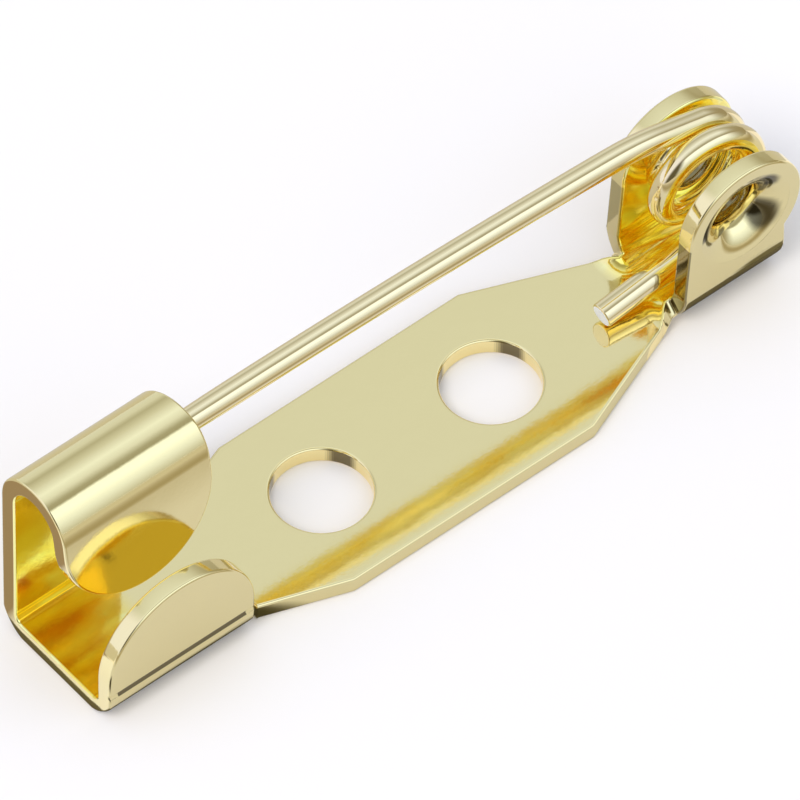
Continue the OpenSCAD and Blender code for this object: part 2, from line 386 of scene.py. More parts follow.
def flat_lengths(s):
    """Places along the flat blank, measured from its middle line to each side."""
    t = s.sheet_t
    catch_bend = (s.bend_in_r + t / 2) * QUARTER
    ear_bend = (s.ear_bend_in_r + t / 2) * QUARTER
    wall = s.wall_y - s.bend_in_r - t
    flange = s.flange_y - s.bend_in_r - t
    ear = s.ears_w / 2 - s.ear_bend_in_r - t
    wall_up = wall + catch_bend - s.bend_in_r - t
    flange_up = flange + catch_bend - s.bend_in_r - t
    roll_end = wall_up + s.roll_z + (s.roll_r - t / 2) * (HALF - s.tongue_lean)
    return {
        "wall": wall,
        "flange": flange,
        "ear": ear,
        "roll": wall_up + s.roll_z,
        "tongue_end": roll_end + s.tongue_l,
        "coin": flange_up + s.coin_z,
        "flange_end": flange_up + s.flange_h,
        "ear_up": ear + ear_bend,
        "head": ear + ear_bend + s.head_z - s.ear_bend_in_r - t,
    }


def arc_points(x, y, radius, first, last, steps):
    """Points on an arc between two angles."""
    turns = [first + (last - first) * i / steps for i in range(steps + 1)]
    return [(x + radius * math.cos(a), y + radius * math.sin(a)) for a in turns]


def side_outline(s, flat):
    """Outline of the far ear and the far side of the plate, up to the catch."""
    head_x = s.ear_x + s.head_r
    ear_end = math.asin(min(1, (s.ear_x + s.ear_base_l - head_x) / s.head_r)) - QUARTER
    foot_x = s.ear_x - s.ear_foot
    side = arc_points(head_x, flat["head"], s.head_r, ear_end, HALF, ROUND_STEPS)
    side += [(foot_x, flat["ear_up"]), (foot_x, s.ear_neck_w / 2 + TUCK)]
    side += [(foot_x - s.ear_neck_l, s.ear_neck_w / 2)]
    side += [(s.wide_l / 2, s.plate_w / 2), (-s.wide_l / 2, s.plate_w / 2)]
    side += [(s.catch_taper_l - s.catch_x, s.catch_neck_w / 2)]
    return side


def wall_edge(s, flat, wall_x):
    """Edge of the far wall, which widens into the hook's roll."""
    widen_from, widen_to = flat["roll"] - s.widen_below, flat["roll"] + s.widen_above
    edge = []
    for i in range(WIDEN_STEPS + 1):
        share = i / WIDEN_STEPS
        step = (1 - math.cos(HALF * min(1, 2 * share))) / 2
        wider = s.wall_inset * (EVEN_WIDENING * share + (1 - EVEN_WIDENING) * step)
        edge.append((wall_x + wider, widen_from + (widen_to - widen_from) * share))
    return edge


def blank_outline(s, flat):
    """Outline of the blank, from the far ear along the far edge to the catch and back."""
    side = side_outline(s, flat)
    neck = s.catch_neck_w / 2
    tip_r = s.catch_l / 2
    catch_mid = -(s.catch_x + tip_r)
    wall_x = -s.catch_x - s.wall_inset
    wall_notch = wall_x + s.catch_relief_l
    wall_y = flat["wall"] - TUCK
    flange_notch = s.catch_relief_l - s.catch_x
    flange_y = TUCK - flat["flange"]

    catch = [(wall_notch, neck), (wall_notch, wall_y), (wall_x, wall_y)]
    catch += wall_edge(s, flat, wall_x)
    catch += arc_points(catch_mid, flat["tongue_end"] - tip_r, tip_r, 0, HALF, ROUND_STEPS)
    catch += arc_points(catch_mid, tip_r - flat["flange_end"], tip_r, HALF, 2 * HALF, ROUND_STEPS)
    catch += [(-s.catch_x, flange_y), (flange_notch, flange_y), (flange_notch, -neck)]
    return side + catch + [(x, -y) for x, y in reversed(side)]


def stamp(outline, thickness):
    """A sheet with the given outline, drawn point by point, filled and drawn up to its thickness."""
    deselect()
    bpy.ops.mesh.primitive_plane_add(size=1, location=(*outline[0], 0))
    sheet = bpy.context.object
    settle(sheet)
    bpy.ops.object.mode_set(mode="EDIT")
    bpy.ops.mesh.select_all(action="SELECT")
    bpy.ops.mesh.merge(type="CENTER")
    for (x0, y0), (x1, y1) in zip(outline, outline[1:]):
        bpy.ops.mesh.extrude_vertices_move(TRANSFORM_OT_translate={"value": (x1 - x0, y1 - y0, 0)})
    bpy.ops.mesh.select_all(action="SELECT")
    bpy.ops.mesh.edge_face_add()
    bpy.ops.mesh.extrude_region_move(TRANSFORM_OT_translate={"value": (0, 0, thickness)})
    bpy.ops.mesh.select_all(action="SELECT")
    bpy.ops.mesh.normals_make_consistent(inside=False)
    bpy.ops.object.mode_set(mode="OBJECT")
    return sheet


def cut_blank(s, flat):
    """The flat blank as it is stamped, with its two sewing holes."""
    blank = stamp(blank_outline(s, flat), s.sheet_t)
    for x in (-s.hole_spacing / 2, s.hole_spacing / 2):
        combine(blank, disc(x, 0, s.hole_d / 2, -s.sheet_t, 2 * s.sheet_t), "DIFFERENCE")
    return blank


def mark_inside(piece):
    """Marks the faces that end up inside the catch and between the ears, which get a painted reflection
    colour.
    """
    mark_faces(piece, "inside", lambda face: float(face.normal.z > TOP_FROM))


class Bend(NamedTuple):
    """One bend of the blank: the zone(x, y) that folds, its side, place, inside radius and angle."""

    zone: object
    side: int
    start: float
    inner_r: float
    angle: float
    steps: int

    def arc(self, t):
        """Length of the bend, along the middle of a sheet of thickness t."""
        return (self.inner_r + t / 2) * self.angle

    def line(self, t, step):
        """Distance of one of the bend's lines from the blank's middle line."""
        return self.start + self.arc(t) * step / self.steps


def fold(piece, flat_xy, bend, t):
    """Folds what lies beyond a line of the blank, a little at a time."""
    centre = (0, bend.side * bend.start, t + bend.inner_r)
    for step in range(1, bend.steps + 1):
        line = bend.line(t, step)
        beyond = [
            i for i, (x, y) in enumerate(flat_xy) if bend.zone(x, y) and bend.side * y > line - TINY
        ]
        pick(piece, "VERT", beyond)
        so_far = bend.angle * (step - 1) / bend.steps
        back = bend.arc(t) / bend.steps
        bpy.ops.transform.translate(
            value=(0, -bend.side * back * math.cos(so_far), -back * math.sin(so_far))
        )
        bpy.ops.transform.rotate(
            value=-bend.side * bend.angle / bend.steps, orient_axis="X", center_override=centre
        )
        bpy.ops.object.mode_set(mode="OBJECT")


def score_bend(piece, zone, bend, t):
    """Scores the lines of one bend across a zone of the blank."""
    for step in range(bend.steps + 1):
        y = bend.side * bend.line(t, step)
        score(piece, lambda c: zone(c.x, c.y), (0, y, 0), (0, 1, 0))


def thin_line(piece, zone, y, share):
    """Presses a scored line of the blank up into the sheet, by a share of the sheet's thickness."""
    line = [v.index for v in piece.data.vertices if zone(v.co.x, v.co.y) and abs(v.co.y - y) < TINY]
    top = max(piece.data.vertices[i].co.z for i in line)
    pick(piece, "VERT", line)
    bpy.ops.transform.resize(value=(1, 1, 1 - share), center_override=(0, 0, top))
    bpy.ops.object.mode_set(mode="OBJECT")


def press_line(piece, zone, s, flat):
    """Presses a shallow line into the outside of the near flange while it is flat, and marks it dark with
    painted shade.
    """
    middle = -flat["coin"]
    outer, inner = s.coin_w / 2, s.coin_w / 4
    for y in (middle - outer, middle - inner, middle + inner, middle + outer):
        score(piece, lambda c: zone(c.x, c.y), (0, y, 0), (0, 1, 0))
    for y in (middle - inner, middle + inner):
        thin_line(piece, zone, y, s.coin_depth / s.sheet_t)
    right, left = -s.catch_x - LINE_INSET, -s.catch_x - s.catch_l + LINE_INSET
    for x in (right, left):
        score(piece, lambda c: abs(c.y - middle) < s.coin_w and zone(c.x, c.y), (x, 0, 0), (1, 0, 0))

    def pressed(face):
        x, y, z = face.center
        under = z < s.sheet_t / 2 and face.normal.z < UNDERSIDE_FROM
        return float(under and abs(y - middle) < outer and left < x < right)

    # The pressed line's dark colour is painted shade
    mark_faces(piece, "worn", pressed)


def mark_flange(piece, zone, flat):
    """Marks the near flange's inner face while it is flat, for a painted orange reflection colour."""

    def in_face(face):
        x, y, _ = face.center
        return float(face.normal.z > TOP_FROM and y < -flat["flange"] and zone(x, 0))

    mark_faces(piece, "flange", in_face)


# Torn parts of a sewing hole's wall, dull from real tearing and darkened with a painted reflection: the
# turn of the middle and the reach, in degrees
TORN_WALLS = ((28, 20), (128, 14))


def mark_hole_walls(piece, s):
    """Marks the torn, dull parts of the sewing holes' walls, which are also darkened with a painted
    reflection.
    """

    def torn(face):
        share = 0
        for x in (-s.hole_spacing / 2, s.hole_spacing / 2):
            out = face.center - Vector((x, 0, face.center.z))
            if abs(out.length - s.hole_d / 2) < s.edge_r and abs(face.normal.z) < WALL_FROM:
                turn = math.degrees(math.atan2(out.y, out.x))
                share = max(share, *(1 - abs(turn - middle) / reach for middle, reach in TORN_WALLS))
        return min(1.0, 2 * share)

    mark_faces(piece, "worn", torn)


def form_blank(piece, s, flat):
    """Scores the blank and folds it into the catch and the ears."""
    t = s.sheet_t
    catch_line = s.catch_relief_l / 2 - s.catch_x
    wall_line = catch_line - s.wall_inset
    foot_x = s.ear_x - s.ear_foot
    curl_lines = [foot_x - s.neck_curl_l * (1 - i / CURL_STEPS) for i in range(CURL_STEPS + 1)]
    curl_half = s.neck_curl_l / CURL_STEPS / 2

    def in_wall(x, y):
        return x < wall_line - TINY or (x < catch_line and y > s.plate_w)

    def in_flange(x, y):
        return x < catch_line - TINY

    def in_ears(x, y):
        return x > foot_x - curl_half

    def in_neck(x, y):
        return x > curl_lines[0] - curl_half

    roll = Bend(in_wall, 1, flat["roll"], s.roll_r - t, HALF - s.tongue_lean, ROLL_STEPS)
    corners = (
        Bend(in_wall, 1, flat["wall"], s.bend_in_r, QUARTER, BEND_STEPS),
        Bend(in_flange, -1, flat["flange"], s.bend_in_r, QUARTER, BEND_STEPS),
    )
    ears = [Bend(in_ears, side, flat["ear"], s.ear_bend_in_r, QUARTER, BEND_STEPS) for side in (1, -1)]

    for x in (wall_line, catch_line):
        score(piece, lambda c: True, (x, 0, 0), (1, 0, 0))
    for x in curl_lines:
        score(piece, lambda c: abs(c.y) < flat["ear_up"], (x, 0, 0), (1, 0, 0))
    for bend in (roll, *corners):
        score_bend(piece, bend.zone, bend, t)
    for bend in ears:
        score_bend(piece, in_neck, bend, t)

    press_line(piece, in_flange, s, flat)
    mark_flange(piece, in_flange, flat)
    mark_hole_walls(piece, s)
    for bend in corners:
        for step in range(1, bend.steps):
            share = s.corner_thin * math.sin(HALF * step / bend.steps)
            thin_line(piece, bend.zone, bend.side * bend.line(t, step), share)

    flat_xy = [(v.co.x, v.co.y) for v in piece.data.vertices]
    for bend in (roll, *corners, *ears):
        fold(piece, flat_xy, bend, t)
    for i in range(1, CURL_STEPS):
        angle = QUARTER * (1 - math.cos(HALF * i / CURL_STEPS)) / 2
        for side in (-1, 1):
            curl = Bend(
                lambda x, y: -curl_half <= x - curl_lines[i] < curl_half,
                side, flat["ear"], ears[0].arc(t) / angle - t / 2, angle, BEND_STEPS,
            )
            fold(piece, flat_xy, curl, t)


def boss_rings(s):
    """Radius and depth of the boss's outside, from its fillet to its tip."""
    foot_r = s.boss_r + s.boss_fillet_r
    foot_depth = s.sheet_t + s.boss_fillet_r
    rings = [(foot_r, s.sheet_t / 2)]
    for i in range(DISH_STEPS + 1):
        a = QUARTER * i / DISH_STEPS
        rings.append((foot_r - s.boss_fillet_r * math.sin(a), foot_depth - s.boss_fillet_r * math.cos(a)))
    rings += [(s.boss_r, s.boss_depth - BOSS_CHAMFER), (s.boss_r - BOSS_CHAMFER, s.boss_depth)]
    return rings


def dish_rings(s):
    """Radius and depth of the dish and its pierced hole, from outside the ear to past the boss."""
    mouth_r = s.dish_r - s.pierce_r
    rings = [(s.dish_r, -CUTTER_REACH)]
    for i in range(1, DISH_STEPS + 1):
        a = QUARTER * i / DISH_STEPS
        rings.append((s.dish_r - mouth_r * math.sin(a), mouth_r - mouth_r * math.cos(a)))
    rings.append((s.pierce_r, s.boss_depth + CUTTER_REACH))
    return rings


def dish_ears(piece, s):
    """Draws the hollow boss of each ear inwards, with its dish and pierced hole."""
    for rings, operation in ((boss_rings(s), "UNION"), (dish_rings(s), "DIFFERENCE")):
        for side in (-1, 1):
            place = (s.ear_x + s.head_r, side * s.ears_w / 2, s.head_z)
            combine(piece, turned(rings, place, side * QUARTER), operation)


# How dark the painted shade on the pierced holes' walls and on the two ears' front edges is
BORE_PAINTED_SHADE = 0.85
NEAR_EDGE_PAINTED_SHADE = 0.8
FAR_EDGE_PAINTED_SHADE = 0.5
# The front edges' reach round their place, least distance from the middle and least height
EDGE_REACH = 0.25
EDGE_FROM_Y = 0.9
EDGE_FROM_Z = 0.3
# How far a bore's face may stand off the bore, and how far its normal may lean along it
BORE_OFF = 0.02
BORE_LEAN = 0.1


def mark_ears(piece, s):
    """Marks painted shade on the pierced holes' walls and the ears' front edges, which are dark in the
    photo.
    """

    # Painted shade: the bores' walls and the low front edges of the ears are darkened
    def dull(face):
        x, y, z = face.center
        from_axis = math.hypot(x - s.ear_x - s.head_r, z - s.head_z)
        if x > 0 and abs(from_axis - s.pierce_r) < BORE_OFF and abs(face.normal.y) < BORE_LEAN:
            return BORE_PAINTED_SHADE
        at_front = abs(x - s.ear_x) < EDGE_REACH and face.normal.x < -0.5
        if at_front and abs(y) > EDGE_FROM_Y and EDGE_FROM_Z < z < s.head_z:
            return NEAR_EDGE_PAINTED_SHADE if y < 0 else FAR_EDGE_PAINTED_SHADE
        return 0.0

    mark_faces(piece, "worn", dull)


# Painted dark reflections in each dish: turn and spread in degrees, then radius and reach
DISH_PAINTED_REFLECTIONS = ((50, 26, 0.98, 0.28), (-38, 34, 0.8, 0.38), (166, 18, 1.15, 0.15))
DARKEST = 0.9
SPOT_STEEPNESS = 1.5
# Depth below the ear's outer face from which a spot may show
SPOT_FROM_DEPTH = 0.002


def spot_share(turn, radius, spot_turn, spread, spot_radius, reach):
    """How dark a dish's painted reflection is at a place: most in the middle of a spot, and 0 outside it.
    """
    away = ((turn - spot_turn) / spread) ** 2 + ((radius - spot_radius) / reach) ** 2
    return min(DARKEST, max(0.0, SPOT_STEEPNESS * (1 - away)))


def paint_dish_reflections(piece, s):
    """Marks the painted dark reflections in the dishes on their vertices, so that they fade softly."""
    marks = piece.data.attributes.new("tarnish", "FLOAT", "POINT")
    for point in piece.data.vertices:
        x, z = point.co.x - s.ear_x - s.head_r, point.co.z - s.head_z
        radius = math.hypot(x, z)
        depth = s.ears_w / 2 - abs(point.co.y)
        if radius < s.dish_r and SPOT_FROM_DEPTH < depth < s.sheet_t:
            turn = math.degrees(math.atan2(z, x))
            marks.data[point.index].value = max(spot_share(turn, radius, *spot) for spot in DISH_PAINTED_REFLECTIONS)


class BROOCHPIN_OT_sheet(bpy.types.Operator):
    """Stamp the blank, round its edges, fold the catch and the ears, and dish the ears"""

    bl_idname = "broochpin.sheet"
    bl_label = "Stamped sheet"

    def execute(self, context):
        s = Millimetres(context.scene.broochpin_sheet)
        flat = flat_lengths(s)
        body = cut_blank(s, flat)
        clean(body)
        round_edges(body, s.edge_r, EDGE_SEGMENTS, lambda a, b: abs(a.z - b.z) < TINY)
        mark_inside(body)
        form_blank(body, s, flat)
        dish_ears(body, s)
        mark_ears(body, s)
        paint_dish_reflections(body, s)
        gold = plating("sheet_gold", sheet_colour, SHEET_GRAIN, context.scene.broochpin_looks)
        finish_piece(body, "stamped_sheet", gold)
        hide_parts("sheet_body")
        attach(body, "body")
        return {"FINISHED"}


# The pin wire: its centre line, its rings and its cut end

# Steps of the coil, of the bend on each side of it, of the stem and of its taper, and sides
# of the wire
COIL_STEPS = 100
KNEE_STEPS = 10
STEM_STEPS = 24
TAPER_STEPS = 14
WIRE_SIDES = 32
# Radius at the very point, as a share of the wire's
POINT_SHARE = 0.06
# Share of the tail leg that the ring next to the cut end stands in
TAIL_START = 0.05
# The stem's knee bends towards this share of the stem
KNEE_AIM = 0.1
# The stem's even steps start this many times the bend's reach from the knee
PAST_KNEE = 1.5
# A ring that would turn by less than this angle stays parallel to the last
LEAST_TURN = 1e-6
# Chamfer round the cut end
CUT_CHAMFER = 0.04
CUT_SEGMENTS = 2
# The cut end's own face looks this far along the bar
CUT_FACING = -0.9
# The underside's painted shade marks: how sideways a coil's face is before it counts as between turns,
# the tail's mark as a share of the stem's, and how fast a mark grows
TURN_GAP = 0.6
TAIL_SHADE = 0.35
SHADE_STEEPNESS = 1.5


def coil_point(s, w, turn):
    """Place on the coil's centre line, an angle after the stem joins it."""
    a = QUARTER - w.stem_leave - turn
    return Vector((
        s.ear_x + s.head_r + w.coil_r * math.cos(a),
        w.coil_y - w.coil_pitch * turn / (2 * HALF),
        s.head_z + w.coil_lift + w.coil_r * math.sin(a),
    ))


def bent(a, b, c, reach):
    """Points of a smooth bend at corner b, between the directions of a and c."""
    p = b + (a - b).normalized() * reach
    q = b + (c - b).normalized() * reach
    shares = [i / KNEE_STEPS for i in range(KNEE_STEPS + 1)]
    return [p * (1 - t) ** 2 + b * 2 * t * (1 - t) + q * t ** 2 for t in shares]


def stem_places(s, w, start):
    """The stem's knee beside its start on the coil, and its point inside the hook."""
    knee_z = s.head_z + w.coil_lift + w.coil_r + w.stem_rise
    knee_x = start.x - (knee_z - start.z) / math.tan(w.stem_leave)
    knee = Vector((knee_x, w.coil_y + (start.x - s.ear_x) * math.tan(w.stem_splay), knee_z))
    tip_y = s.wall_y - s.roll_r + w.stem_offset
    tip = Vector((w.tip_inset - s.catch_x - s.catch_l, tip_y, s.roll_z - w.stem_drop))
    return knee, tip


def tail_places(s, w, end):
    """The tail's cut end above the plate, and its knee beside its end on the coil."""
    cut_x = s.ear_x - w.tail_l
    cut_z = s.sheet_t + w.tail_gap + w.wire_d / 2
    steep, slight = math.tan(w.tail_leave), math.tan(w.tail_slope)
    knee_x = (cut_z - end.z + end.x * steep - cut_x * slight) / (steep - slight)
    knee = Vector((knee_x, end.y, end.z - (end.x - knee_x) * steep))
    return Vector((cut_x, end.y, cut_z)), knee


def wire_route(s, w):
    """Centre line of the wire from the tail's cut end to the point, with a radius for each place."""
    radius = w.wire_d / 2
    sweep = 3 * HALF - w.stem_leave - w.tail_leave
    start = coil_point(s, w, 0)
    end = coil_point(s, w, sweep)
    knee, tip = stem_places(s, w, start)
    tail_end, tail_knee = tail_places(s, w, end)

    def along(share):
        """Place on the bowed stem, at a share of its length from the knee."""
        return knee.lerp(tip, share) + Vector((0, 0, 4 * w.stem_bow * share * (1 - share)))

    route = [tail_end, tail_end.lerp(tail_knee, TAIL_START)]
    route += bent(tail_end, tail_knee, end, w.bend_l)
    route += [coil_point(s, w, sweep * (1 - i / COIL_STEPS)) for i in range(COIL_STEPS + 1)]
    route += bent(start, knee, along(KNEE_AIM), w.bend_l)
    stem_l = (knee - tip).length
    taper = w.taper_l / stem_l
    first = PAST_KNEE * w.bend_l / stem_l
    route += [along(first + (1 - taper - first) * i / STEM_STEPS) for i in range(STEM_STEPS)]
    radii = [radius] * len(route)
    for i in range(TAPER_STEPS + 1):
        share = (1 - i / TAPER_STEPS) ** 2
        route.append(along(1 - taper * share))
        radii.append(radius * (POINT_SHARE + (1 - POINT_SHARE) * math.sqrt(1 - (1 - share) ** 2)))
    return route, radii


def tilt(direction):
    """Angle of a direction in the XZ plane, from +X towards +Z."""
    return math.atan2(direction.z, direction.x)


def draw_wire(route, radii):
    """Draws a wire along its route, one ring after another, each turned square to the route."""
    deselect()
    ahead = [(b - a).normalized() for a, b in zip(route, route[1:])]
    headings = [tilt(ahead[0])]
    headings += [tilt(a + b) for a, b in zip(ahead, ahead[1:])]
    headings.append(tilt(ahead[-1]))
    bpy.ops.mesh.primitive_circle_add(
        vertices=WIRE_SIDES, radius=radii[0], fill_type="NGON", location=route[0],
        rotation=(0, QUARTER - headings[0], 0),
    )
    wire = bpy.context.object
    settle(wire)
    bpy.ops.object.mode_set(mode="EDIT")
    bpy.ops.mesh.select_all(action="SELECT")
    for i in range(1, len(route)):
        bpy.ops.mesh.extrude_region_move(TRANSFORM_OT_translate={"value": route[i] - route[i - 1]})
        turn = headings[i] - headings[i - 1]
        turn = (turn + HALF) % (2 * HALF) - HALF
        if abs(turn) > LEAST_TURN:
            bpy.ops.transform.rotate(value=turn, orient_axis="Y", center_override=route[i])
        grow = radii[i] / radii[i - 1]
        if grow != 1:
            bpy.ops.transform.resize(value=(grow, grow, grow), center_override=route[i])
    bpy.ops.mesh.select_all(action="SELECT")
    bpy.ops.mesh.normals_make_consistent(inside=False)
    bpy.ops.object.mode_set(mode="OBJECT")
    return wire


def mark_underside(wire, s, w):
    """Marks painted shade on the faces under the stem and the tail, inside the coil and between its
    turns.
    """
    coil = Vector((s.ear_x + s.head_r, 0, s.head_z + w.coil_lift))

    def hidden(face):
        out = face.center - coil
        out.y = 0
        if out.length < w.coil_r + w.wire_d:
            share = max(-face.normal.dot(out.normalized()), abs(face.normal.y) - TURN_GAP)
        elif face.center.y > 0:
            share = -face.normal.z
        else:
            share = -face.normal.z * TAIL_SHADE
        return min(1.0, SHADE_STEEPNESS * share)

    mark_faces(wire, "inside", hidden)


class BROOCHPIN_OT_wire(bpy.types.Operator):
    """Draw the pin wire from its cut end round the coil to its point"""

    bl_idname = "broochpin.wire"
    bl_label = "Pin wire"

    def execute(self, context):
        s = Millimetres(context.scene.broochpin_sheet)
        w = Millimetres(context.scene.broochpin_wire)
        route, radii = wire_route(s, w)
        wire = draw_wire(route, radii)
        cut_x = route[0].x
        round_edges(wire, CUT_CHAMFER, CUT_SEGMENTS, lambda a, b: abs(a.x - cut_x) < w.wire_d)
        mark_underside(wire, s, w)
        looks = context.scene.broochpin_looks
        gold = plating("wire_gold", wire_colour, WIRE_GRAIN, looks)
        finish_piece(wire, "pin_wire", gold)
        wire.data.materials.append(bare_steel("cut_steel", looks.cut_steel))
        for face in wire.data.polygons:
            at_cut = face.center.x * MM_PER_M > cut_x - CUT_CHAMFER
            if at_cut and face.normal.x < CUT_FACING and len(face.vertices) > 4:
                face.material_index = 1
        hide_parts("pin_stem", "pin_tail")
        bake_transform(wire)
        return {"FINISHED"}


# Materials: the plating on the sheet and the wire, with painted shade and reflections, and the wire's
# bare core

class NodeTree:
    """The nodes of a material or a world. A value is another node's output, a number or a colour."""

    def __init__(self, owner):
        owner.use_nodes = True
        self.nodes = owner.node_tree.nodes
        self.links = owner.node_tree.links

    def feed(self, socket, value):
        """Gives a value to a socket."""
        if hasattr(value, "node"):
            self.links.new(value, socket)
        elif socket.type == "RGBA":
            socket.default_value = (*value, 1)
        else:
            socket.default_value = value

    def add(self, kind, **settings):
        """Adds a node and sets its properties, and its sockets by their names."""
        node = self.nodes.new(kind)
        for key, value in settings.items():
            if hasattr(node, key):
                setattr(node, key, value)
            else:
                self.feed(node.inputs[key.replace("_", " ").title()], value)
        return node

    def place(self):
        """Object coordinates."""
        return self.add("ShaderNodeTexCoord").outputs["Object"]

    def stretched(self, vector, scale):
        """Coordinates with each axis scaled."""
        return self.add("ShaderNodeMapping", vector=vector, scale=scale).outputs["Vector"]

    def apart(self, vector):
        """The X, Y and Z of coordinates, by name."""
        return self.add("ShaderNodeSeparateXYZ", vector=vector).outputs

    def mark(self, name):
        """What was marked on the mesh under a name, and 0 where nothing was."""
        return self.add("ShaderNodeAttribute", attribute_name=name).outputs["Fac"]

    def noise(self, vector, scale, detail):
        """Soft noise from 0 to 1."""
        return self.add("ShaderNodeTexNoise", vector=vector, scale=scale, detail=detail).outputs["Fac"]

    def maths(self, operation, first, second):
        """A number worked out from two values."""
        node = self.add("ShaderNodeMath", operation=operation)
        self.feed(node.inputs[0], first)
        self.feed(node.inputs[1], second)
        return node.outputs[0]

    def ramp(self, value, start, end, **settings):
        """A number from 0 to 1, or from to_min to to_max, while a value goes from start to end."""
        node = self.add("ShaderNodeMapRange", value=value, from_min=start, from_max=end, **settings)
        return node.outputs["Result"]

    def soft_ramp(self, value, start, end):
        """A ramp that starts and ends softly."""
        return self.ramp(value, start, end, interpolation_type="SMOOTHSTEP")

    def mix(self, share, first, second):
        """The first colour where the share is 0, and the second where it is 1."""
        node = self.add("ShaderNodeMix", data_type="RGBA")
        for i, value in ((0, share), (6, first), (7, second)):
            self.feed(node.inputs[i], value)
        return node.outputs[2]

    def shades(self, value, stops):
        """A colour that changes with a value, through stops of place and colour."""
        node = self.add("ShaderNodeValToRGB", fac=value)
        elements = node.color_ramp.elements
        while len(elements) < len(stops):
            elements.new(0.5)
        for element, (place, _) in zip(elements, stops):
            element.position = place
        for element, (_, shade) in zip(elements, stops):
            element.color = (*shade, 1)
        return node.outputs["Color"]

    def bump(self, relief, strength, distance, under=None):
        """Bumps from a relief, on top of the bumps under it."""
        node = self.add("ShaderNodeBump", strength=strength, distance=distance)
        self.feed(node.inputs["Height"], relief)
        if under:
            self.feed(node.inputs["Normal"], under)
        return node.outputs["Normal"]


def new_material(name):
    """A material, its nodes and its shader's sockets."""
    material = bpy.data.materials.new(name)
    tree = NodeTree(material)
    return material, tree, tree.nodes["Principled BSDF"].inputs


# Metres along the bar over which the painted reflection colour sets in: in the catch and between the ears
CATCH_HOLLOW_X = (-0.0074, -0.0082)
EARS_HOLLOW_X = (0.0061, 0.0068)
# Metres over which the painted orange reflection patches end: along the bar and up the catch's wall
CATCH_SIDE_X = (0.002, -0.002)
PATCHES_END_Z = (0.0005, 0.0008)
# The patches' noise, and its stretch along the bar
PATCH_SCALE = 1500
PATCH_LEVELS = (0.42, 0.6)
PATCH_STRETCH = (0.35, 1, 1)
# Share of the deeper gold, as painted shade, under the wire
WIRE_DEPTH = 0.8
# Stretch of the plating's grain, which is drawn out along the wire
SHEET_GRAIN = (1, 1, 1)
WIRE_GRAIN = (0.12, 1, 1)


def patched_reflection_gold(tree, place, looks):
    """Painted reflection colour: deep gold with orange patches."""
    patches = tree.noise(tree.stretched(place, PATCH_STRETCH), scale=PATCH_SCALE, detail=3)
    return tree.mix(tree.soft_ramp(patches, *PATCH_LEVELS), looks.hollow_reflection_gold, looks.orange_reflection_gold)


def sheet_colour(tree, place, looks):
    """The sheet's gold, with a deeper painted reflection colour inside the catch, between the ears and on
    the near flange's inner face.
    """
    apart = tree.apart(place)
    in_catch = tree.soft_ramp(apart["X"], *CATCH_HOLLOW_X)
    in_ears = tree.soft_ramp(apart["X"], *EARS_HOLLOW_X)
    flange = tree.mark("flange")
    hollow = tree.maths("MULTIPLY", tree.mark("inside"), tree.maths("ADD", in_catch, in_ears))
    depth = tree.maths("MAXIMUM", hollow, flange)
    high = tree.soft_ramp(apart["Z"], *PATCHES_END_Z)
    plain = tree.maths("MULTIPLY", high, tree.soft_ramp(apart["X"], *CATCH_SIDE_X))
    deep = tree.mix(plain, patched_reflection_gold(tree, place, looks), looks.hollow_reflection_gold)
    deep = tree.mix(flange, deep, looks.orange_reflection_gold)
    return tree.mix(depth, looks.sheet_gold, deep)


def wire_colour(tree, place, looks):
    """The wire's gold, with a deeper painted shade colour on its underside and between the coil's turns.
    """
    depth = tree.maths("MULTIPLY", tree.mark("inside"), WIRE_DEPTH)
    return tree.mix(depth, looks.wire_gold, patched_reflection_gold(tree, place, looks))


def plating(name, colour_of, grain_stretch, looks):
    """Bright gold plating: faint waviness, fine grain and uneven gloss, with worn places, painted shade
    and painted dark reflections.

    Scales are counted in a metre and bump distances are metres, as in the other materials.
    """
    material, tree, shader = new_material(name)
    place = tree.place()
    # Painted shade and painted dark reflections darken the base colour where they are marked
    gold = tree.mix(tree.mark("worn"), colour_of(tree, place, looks), looks.wear_and_painted_shade_gold)
    tree.feed(shader["Base Color"], tree.mix(tree.mark("tarnish"), gold, looks.tarnish))
    tree.feed(shader["Metallic"], 1.0)

    drawn = tree.stretched(place, grain_stretch)
    wave = tree.noise(drawn, scale=700, detail=2)
    grain = tree.noise(drawn, scale=12000, detail=3)
    tree.feed(shader["Roughness"], tree.ramp(grain, 0, 1, to_min=0.04, to_max=0.12))
    coarse = tree.bump(wave, strength=0.25, distance=0.00002)
    tree.feed(shader["Normal"], tree.bump(grain, strength=0.3, distance=0.000002, under=coarse))
    return material


def bare_steel(name, base):
    """The wire's bare core at its cut end: pale and dull, with fine shear marks."""
    material, tree, shader = new_material(name)
    marks = tree.noise(tree.place(), scale=15000, detail=3)
    tree.feed(shader["Base Color"], base)
    tree.feed(shader["Roughness"], tree.ramp(marks, 0, 1, to_min=0.3, to_max=0.5))
    tree.feed(shader["Normal"], tree.bump(marks, strength=0.5, distance=0.00001))
    return material


# The studio: its camera, floor and lights, and what the metal mirrors

# The photo's angles in degrees and its scale. The aim, the lens's clip range, the floor
# and the lamp are in metres
VIEW_AZIMUTH = -39.1
VIEW_ELEVATION = 52.0
PIXELS_PER_MM = 45.5
FRAME_PIXELS = 800
AIM = Vector((-0.000178, 0.0, 0.001884))
LENS = 1600.0
SENSOR_W = 36.0
CLIP_RANGE = (0.01, 10.0)
FLOOR_W = 4.0
# The catch is a deep mirror, so light may bounce this often
MIRROR_BOUNCES = 16
# Share of a shadow spot's gradient at which it has its full shade
SPOT_FULL = 0.6


